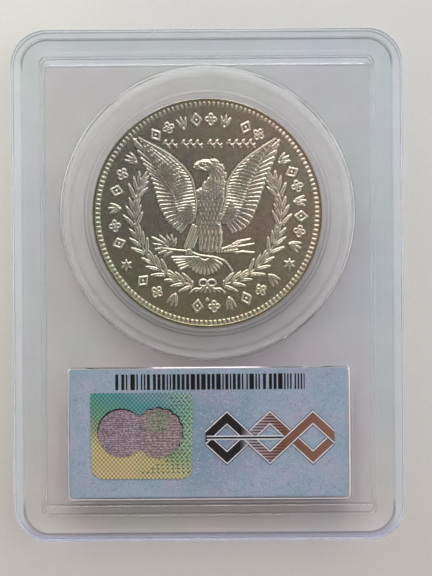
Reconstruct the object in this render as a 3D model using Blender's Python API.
"""A sealed collector's holder for one large silver coin, lying with its rear face up.

Two clear shells meet at a tongue-and-groove weld seam. Between them a round well holds a clear
gasket with the coin in its bore, and a rectangular pocket holds a printed card with a security
sticker and a stamped foil ornament. Dimensions are in millimetres, and mm() turns them into
metres. X is the width, Y the length with the coin towards +Y, and Z points up out of the rear
face. The origin is the middle of the rim that the holder rests on.
"""

import math

import bmesh
import bpy
from mathutils import Vector

# Driving dimensions
WIDTH = 64.8
LENGTH = 84.6
THICKNESS = 8.0
CORNER_RADIUS = 5.8
COIN_DIAMETER = 38.1
COIN_THICKNESS = 2.4
CARD_WIDTH = 46.1
CARD_LENGTH = 21.3
CARD_THICKNESS = 0.35
CARD_CORNER_RADIUS = 0.5

# Gaps between the pieces
SEAM_GAP = 0.3
GASKET_PLAY = 0.3
COIN_PLAY = 0.1
CARD_PLAY = 0.7
GLUE_GAP = 0.06

# Layout on the plan
COIN_Y = 11.85
CARD_Y = -24.6
STICKER_CENTRE = (-11.2, -25.0)
STICKER_SIZE = (17.0, 14.3)
STICKER_CORNER_RADIUS = 1.6
FOIL_CENTRE = (10.1, -25.4)
FOIL_SIZE = (21.4, 9.2)

# Heights
SEAM_Z = 4.1
FRONT_RECESS_Z = 1.2
FRONT_WINDOW_Z = 1.6
REAR_LEDGE_Z = 6.4
REAR_WINDOW_Z = THICKNESS - 1.0
WELL_FLOOR_Z = 2.6
WELL_CEILING_Z = 5.9
POCKET_FLOOR_Z = 3.7
POCKET_CEILING_Z = 4.9
CARD_Z = 4.0

# Shell edges, as distances in from the outline
RIM_INNER = 1.3
BAND_OUTER = 1.55
BAND_INNER = 4.75
WINDOW_EDGE = 5.6
EDGE_ROUND = 0.35
MOULD_DRAFT = 0.1
TONGUE_MIDDLE = 3.0
TONGUE_WIDTH = 0.7
TONGUE_HEIGHT = 0.6

# Gasket
GASKET_RADIUS = 24.05
GASKET_THICKNESS = 2.9
COLLAR_RADIUS = 20.35
COLLAR_STEP = 0.3
BEVEL_RADIUS = 22.8
BEVEL_DROP = 0.75

# Coin
COIN_RIM_WIDTH = 0.75
COIN_RIM_SLOPE = 0.25
COIN_FIELD_DEPTH = 0.2
COIN_EDGE_ROUND = 0.12

# Films on the card
STICKER_THICKNESS = 0.08
EMBLEM_THICKNESS = 0.07
EMBLEM_Y = 0.45
EMBLEM_DISC_X = -3.3
EMBLEM_DISC_RADIUS = 3.9
EMBLEM_ROSETTE_X = 2.9
EMBLEM_ROSETTE_RADIUS = 4.3
EMBLEM_SCALLOPS = 14
EMBLEM_SCALLOP_DEPTH = 0.3
FOIL_THICKNESS = 0.06
FOIL_STRAND_WIDTH = 1.4
FOIL_LOZENGES = 3

# Facets
CORNER_STEPS = 8
ROUND_STEPS = 96
SCALLOP_STEPS = 8
CUTTER_OVERRUN = 1.0
MIN_CORNER_RADIUS = 0.3

CLEAR = {"colour": (0.86, 0.90, 0.94), "roughness": 0.05, "metallic": 0.0, "alpha": 0.3}
SOFT_CLEAR = {"colour": (0.90, 0.89, 0.87), "roughness": 0.12, "metallic": 0.0, "alpha": 0.4}
SILVER = {"colour": (0.72, 0.70, 0.65), "roughness": 0.25, "metallic": 1.0, "alpha": 1.0}
CARD = {"colour": (0.45, 0.55, 0.66), "roughness": 0.7, "metallic": 0.0, "alpha": 1.0}
HOLOGRAM = {"colour": (0.45, 0.68, 0.52), "roughness": 0.3, "metallic": 0.6, "alpha": 1.0}
HOLOGRAM_DARK = {"colour": (0.45, 0.34, 0.42), "roughness": 0.35, "metallic": 0.6, "alpha": 1.0}
FOIL = {"colour": (0.70, 0.62, 0.60), "roughness": 0.1, "metallic": 1.0, "alpha": 1.0}


def mm(value):
    return value * 0.001


def clear_scene():
    for old in list(bpy.data.objects):
        bpy.data.objects.remove(old)


def material(name, look):
    made = bpy.data.materials.new(name)
    made.use_nodes = True
    shader = made.node_tree.nodes["Principled BSDF"]
    shader.inputs["Base Color"].default_value = (*look["colour"], 1.0)
    shader.inputs["Roughness"].default_value = look["roughness"]
    shader.inputs["Metallic"].default_value = look["metallic"]
    shader.inputs["Alpha"].default_value = look["alpha"]
    return made


def rounded_rectangle(width, length, radius, z):
    """Points anticlockwise round a rounded rectangle centred on the Z axis."""
    radius = max(radius, MIN_CORNER_RADIUS)
    points = []
    for quarter in range(4):
        start = quarter * math.pi / 2
        side_x = 1 if quarter in (0, 3) else -1
        side_y = 1 if quarter in (0, 1) else -1
        centre_x = side_x * (width / 2 - radius)
        centre_y = side_y * (length / 2 - radius)
        for step in range(CORNER_STEPS + 1):
            angle = start + step / CORNER_STEPS * math.pi / 2
            x = centre_x + radius * math.cos(angle)
            y = centre_y + radius * math.sin(angle)
            points.append(Vector((mm(x), mm(y), mm(z))))
    return points


def outline(inset, z):
    """The holder's own outline, moved in by a distance, at a height."""
    return rounded_rectangle(WIDTH - 2 * inset, LENGTH - 2 * inset, CORNER_RADIUS - inset, z)


def mesh_object(name, bm, look, parent, smooth_below=30):
    bmesh.ops.recalc_face_normals(bm, faces=bm.faces)
    mesh = bpy.data.meshes.new(name)
    bm.to_mesh(mesh)
    bm.free()
    mesh.shade_smooth()
    mesh.set_sharp_from_angle(angle=math.radians(smooth_below))
    made = bpy.data.objects.new(name, mesh)
    bpy.context.scene.collection.objects.link(made)
    made.parent = parent
    if look is not None:
        mesh.materials.append(look)
    return made


def skinned(loops):
    """A closed solid through rings of points that all have the same number of points."""
    bm = bmesh.new()
    rings = [[bm.verts.new(point) for point in loop] for loop in loops]
    for low, high in zip(rings, rings[1:]):
        for i in range(len(low)):
            j = (i + 1) % len(low)
            bm.faces.new((low[i], low[j], high[j], high[i]))
    bm.faces.new(reversed(rings[0]))
    bm.faces.new(rings[-1])
    return bm


def prism(outline_points, z_low, z_high):
    """A flat outline, given as (x, y) pairs, extruded between two heights."""
    bm = bmesh.new()
    base = [bm.verts.new((mm(x), mm(y), mm(z_low))) for x, y in outline_points]
    face = bm.faces.new(base)
    raised = bmesh.ops.extrude_face_region(bm, geom=[face])["geom"]
    tops = [item for item in raised if isinstance(item, bmesh.types.BMVert)]
    bmesh.ops.translate(bm, verts=tops, vec=(0, 0, mm(z_high - z_low)))
    return bm


def turned(profile):
    """A closed (radius, z) profile spun once about the Z axis. A profile may start on the axis."""
    bm = bmesh.new()
    verts = [bm.verts.new((mm(radius), 0, mm(z))) for radius, z in profile]
    closed = profile[0][0] > 0
    pairs = zip(verts, verts[1:] + verts[:1]) if closed else zip(verts, verts[1:])
    edges = [bm.edges.new(pair) for pair in pairs]
    bmesh.ops.spin(
        bm,
        geom=verts + edges,
        cent=(0, 0, 0),
        axis=(0, 0, 1),
        angle=2 * math.pi,
        steps=ROUND_STEPS,
        use_merge=True,
        use_duplicate=False,
    )
    bmesh.ops.remove_doubles(bm, verts=bm.verts, dist=mm(0.001))
    return bm


def cutter(name, bm, parent, location=(0, 0, 0)):
    made = mesh_object(name, bm, None, parent)
    made.location = [mm(value) for value in location]
    made.hide_render = True
    made.display_type = "WIRE"
    return made


def boolean(target, tool, operation):
    step = target.modifiers.new(tool.name, "BOOLEAN")
    step.operation = operation
    step.solver = "EXACT"
    step.object = tool


def rounded_box(width, length, radius, z_low, z_high):
    loops = [rounded_rectangle(width, length, radius, z) for z in (z_low, z_high)]
    return skinned(loops)


def gasket_well_cutter(name, z_low, z_high, parent):
    radius = GASKET_RADIUS + GASKET_PLAY
    profile = [(0, z_low), (radius, z_low), (radius, z_high), (0, z_high)]
    return cutter(name, turned(profile), parent, (0, COIN_Y, 0))


def card_pocket_cutter(name, z_low, z_high, parent):
    width = CARD_WIDTH + 2 * CARD_PLAY
    length = CARD_LENGTH + 2 * CARD_PLAY
    radius = CARD_CORNER_RADIUS + CARD_PLAY
    box = rounded_box(width, length, radius, z_low, z_high)
    return cutter(name, box, parent, (0, CARD_Y, 0))


def make_front_shell(parent):
    """The lower half: resting rim, stacking recess and window below, tongue, well and pocket above."""
    seam = SEAM_Z - SEAM_GAP / 2
    tongue_out = TONGUE_MIDDLE - TONGUE_WIDTH / 2
    tongue_in = TONGUE_MIDDLE + TONGUE_WIDTH / 2
    loops = [
        outline(WINDOW_EDGE, FRONT_WINDOW_Z),
        outline(BAND_INNER, FRONT_RECESS_Z),
        outline(RIM_INNER + MOULD_DRAFT, FRONT_RECESS_Z),
        outline(RIM_INNER, EDGE_ROUND / 2),
        outline(RIM_INNER - EDGE_ROUND / 2, 0),
        outline(EDGE_ROUND, 0),
        outline(EDGE_ROUND * 0.3, EDGE_ROUND * 0.3),
        outline(0, EDGE_ROUND),
        outline(0, seam - EDGE_ROUND / 2),
        outline(EDGE_ROUND / 2, seam),
        outline(tongue_out, seam),
        outline(tongue_out + MOULD_DRAFT, seam + TONGUE_HEIGHT),
        outline(tongue_in - MOULD_DRAFT, seam + TONGUE_HEIGHT),
        outline(tongue_in, seam),
    ]
    shell = mesh_object("front_shell", skinned(loops), material("clear_front", CLEAR), parent)
    top = seam + CUTTER_OVERRUN
    boolean(shell, gasket_well_cutter("front_well_cutter", WELL_FLOOR_Z, top, parent), "DIFFERENCE")
    boolean(shell, card_pocket_cutter("front_pocket_cutter", POCKET_FLOOR_Z, top, parent), "DIFFERENCE")
    return shell


def make_rear_shell(parent):
    """The upper half: ledge, stacking band and window above, groove, well and pocket below."""
    seam = SEAM_Z + SEAM_GAP / 2
    groove_out = TONGUE_MIDDLE - TONGUE_WIDTH / 2 - SEAM_GAP
    groove_in = TONGUE_MIDDLE + TONGUE_WIDTH / 2 + SEAM_GAP
    loops = [
        outline(groove_in, seam),
        outline(groove_in - MOULD_DRAFT, seam + TONGUE_HEIGHT),
        outline(groove_out + MOULD_DRAFT, seam + TONGUE_HEIGHT),
        outline(groove_out, seam),
        outline(EDGE_ROUND / 2, seam),
        outline(0, seam + EDGE_ROUND / 2),
        outline(0, REAR_LEDGE_Z - EDGE_ROUND),
        outline(EDGE_ROUND * 0.3, REAR_LEDGE_Z - EDGE_ROUND * 0.3),
        outline(EDGE_ROUND, REAR_LEDGE_Z),
        outline(BAND_OUTER - MOULD_DRAFT, REAR_LEDGE_Z),
        outline(BAND_OUTER, THICKNESS - EDGE_ROUND),
        outline(BAND_OUTER + EDGE_ROUND * 0.3, THICKNESS - EDGE_ROUND * 0.3),
        outline(BAND_OUTER + EDGE_ROUND, THICKNESS),
        outline(BAND_INNER, THICKNESS),
        outline(WINDOW_EDGE, REAR_WINDOW_Z),
    ]
    shell = mesh_object("rear_shell", skinned(loops), material("clear_rear", CLEAR), parent)
    low = seam - CUTTER_OVERRUN
    boolean(shell, gasket_well_cutter("rear_well_cutter", low, WELL_CEILING_Z, parent), "DIFFERENCE")
    boolean(shell, card_pocket_cutter("rear_pocket_cutter", low, POCKET_CEILING_Z, parent), "DIFFERENCE")
    return shell


def make_gasket(parent):
    """The clear ring that grips the coin, the same on both faces, with a collar round its bore."""
    bore = COIN_DIAMETER / 2 + COIN_PLAY
    half = GASKET_THICKNESS / 2
    flat = half - COLLAR_STEP
    upper = [
        (GASKET_RADIUS, flat - BEVEL_DROP),
        (BEVEL_RADIUS, flat),
        (COLLAR_RADIUS, flat),
        (COLLAR_RADIUS - COLLAR_STEP, half),
        (bore, half),
    ]
    lower = [(radius, -z) for radius, z in reversed(upper)]
    look = material("clear_gasket", SOFT_CLEAR)
    gasket = mesh_object("coin_gasket", turned(upper + lower), look, parent)
    gasket.location = (0, mm(COIN_Y), mm((WELL_FLOOR_Z + WELL_CEILING_Z) / 2))
    return gasket


def make_coin(parent):
    """The coin's blank with its raised rims, its origin on the axis that it can turn about."""
    radius = COIN_DIAMETER / 2
    half = COIN_THICKNESS / 2
    rim_in = radius - COIN_RIM_WIDTH
    upper = [
        (radius, half - COIN_EDGE_ROUND),
        (radius - COIN_EDGE_ROUND, half),
        (rim_in, half),
        (rim_in - COIN_RIM_SLOPE, half - COIN_FIELD_DEPTH),
        (0, half - COIN_FIELD_DEPTH),
    ]
    lower = [(r, -z) for r, z in reversed(upper)]
    coin = mesh_object("coin", turned(lower + upper), material("silver", SILVER), parent)
    coin.location = (0, mm(COIN_Y), mm((WELL_FLOOR_Z + WELL_CEILING_Z) / 2))
    return coin


def make_card(parent):
    box = rounded_box(CARD_WIDTH, CARD_LENGTH, CARD_CORNER_RADIUS, CARD_Z, CARD_Z + CARD_THICKNESS)
    card = mesh_object("label_card", box, material("card", CARD), parent)
    card.location = (0, mm(CARD_Y), 0)
    return card


def make_sticker(parent):
    """The security sticker's square base, glued to the card's rear face."""
    low = CARD_Z + CARD_THICKNESS + GLUE_GAP
    box = rounded_box(*STICKER_SIZE, STICKER_CORNER_RADIUS, low, low + STICKER_THICKNESS)
    sticker = mesh_object("hologram_sticker", box, material("hologram", HOLOGRAM), parent)
    sticker.location = (mm(STICKER_CENTRE[0]), mm(STICKER_CENTRE[1]), 0)
    return sticker


def circle(centre_x, centre_y, radius):
    points = []
    for step in range(ROUND_STEPS):
        angle = step / ROUND_STEPS * 2 * math.pi
        points.append((centre_x + radius * math.cos(angle), centre_y + radius * math.sin(angle)))
    return points


def rosette(centre_x, centre_y, radius):
    """A circle whose edge swells outwards in even scallops."""
    points = []
    steps = EMBLEM_SCALLOPS * SCALLOP_STEPS
    for step in range(steps):
        angle = step / steps * 2 * math.pi
        swell = EMBLEM_SCALLOP_DEPTH * abs(math.sin(EMBLEM_SCALLOPS * angle / 2))
        reach = radius - EMBLEM_SCALLOP_DEPTH + swell
        points.append((centre_x + reach * math.cos(angle), centre_y + reach * math.sin(angle)))
    return points


def make_emblem(parent):
    """The sticker's second film: a scalloped rosette and a plain disc that overlap."""
    low = CARD_Z + CARD_THICKNESS + 2 * GLUE_GAP + STICKER_THICKNESS
    high = low + EMBLEM_THICKNESS
    film = prism(rosette(EMBLEM_ROSETTE_X, EMBLEM_Y, EMBLEM_ROSETTE_RADIUS), low, high)
    emblem = mesh_object("hologram_emblem", film, material("hologram_dark", HOLOGRAM_DARK), parent)
    emblem.location = (mm(STICKER_CENTRE[0]), mm(STICKER_CENTRE[1]), 0)
    disc = prism(circle(EMBLEM_DISC_X, EMBLEM_Y, EMBLEM_DISC_RADIUS), low, high)
    boolean(emblem, cutter("emblem_disc_tool", disc, parent, (*STICKER_CENTRE, 0)), "UNION")
    return emblem


def zigzag_strand(sign, z_low, z_high):
    """One strand of the foil chain: a mitred zigzag that starts and ends on the middle line."""
    half_run = FOIL_SIZE[0] / 2
    quarter = half_run / FOIL_LOZENGES
    slope = FOIL_SIZE[1] / 2 / quarter
    half_height = FOIL_STRAND_WIDTH / 2 * math.hypot(1, slope)
    swing = FOIL_SIZE[1] / 2 - half_height
    middle = [(-half_run, 0.0)]
    for lozenge in range(FOIL_LOZENGES):
        direction = sign if lozenge % 2 == 0 else -sign
        middle.append((-half_run + (2 * lozenge + 1) * quarter, direction * swing))
    middle.append((half_run, 0.0))
    lower = [(x, y - half_height) for x, y in middle]
    upper = [(x, y + half_height) for x, y in reversed(middle)]
    return prism(lower + upper, z_low, z_high)


def make_foil(parent):
    """The stamped foil ornament: two zigzag strands that cross into a chain of lozenges."""
    low = CARD_Z + CARD_THICKNESS + GLUE_GAP
    high = low + FOIL_THICKNESS
    foil = mesh_object("foil_ornament", zigzag_strand(1, low, high), material("foil", FOIL), parent)
    foil.location = (mm(FOIL_CENTRE[0]), mm(FOIL_CENTRE[1]), 0)
    other = cutter("foil_strand_tool", zigzag_strand(-1, low, high), parent, (*FOIL_CENTRE, 0))
    boolean(foil, other, "UNION")
    return foil


def main():
    clear_scene()
    slab = bpy.data.objects.new("slab", None)
    bpy.context.scene.collection.objects.link(slab)
    make_front_shell(slab)
    make_rear_shell(slab)
    make_gasket(slab)
    make_coin(slab)
    make_card(slab)
    make_sticker(slab)
    make_emblem(slab)
    make_foil(slab)


main()
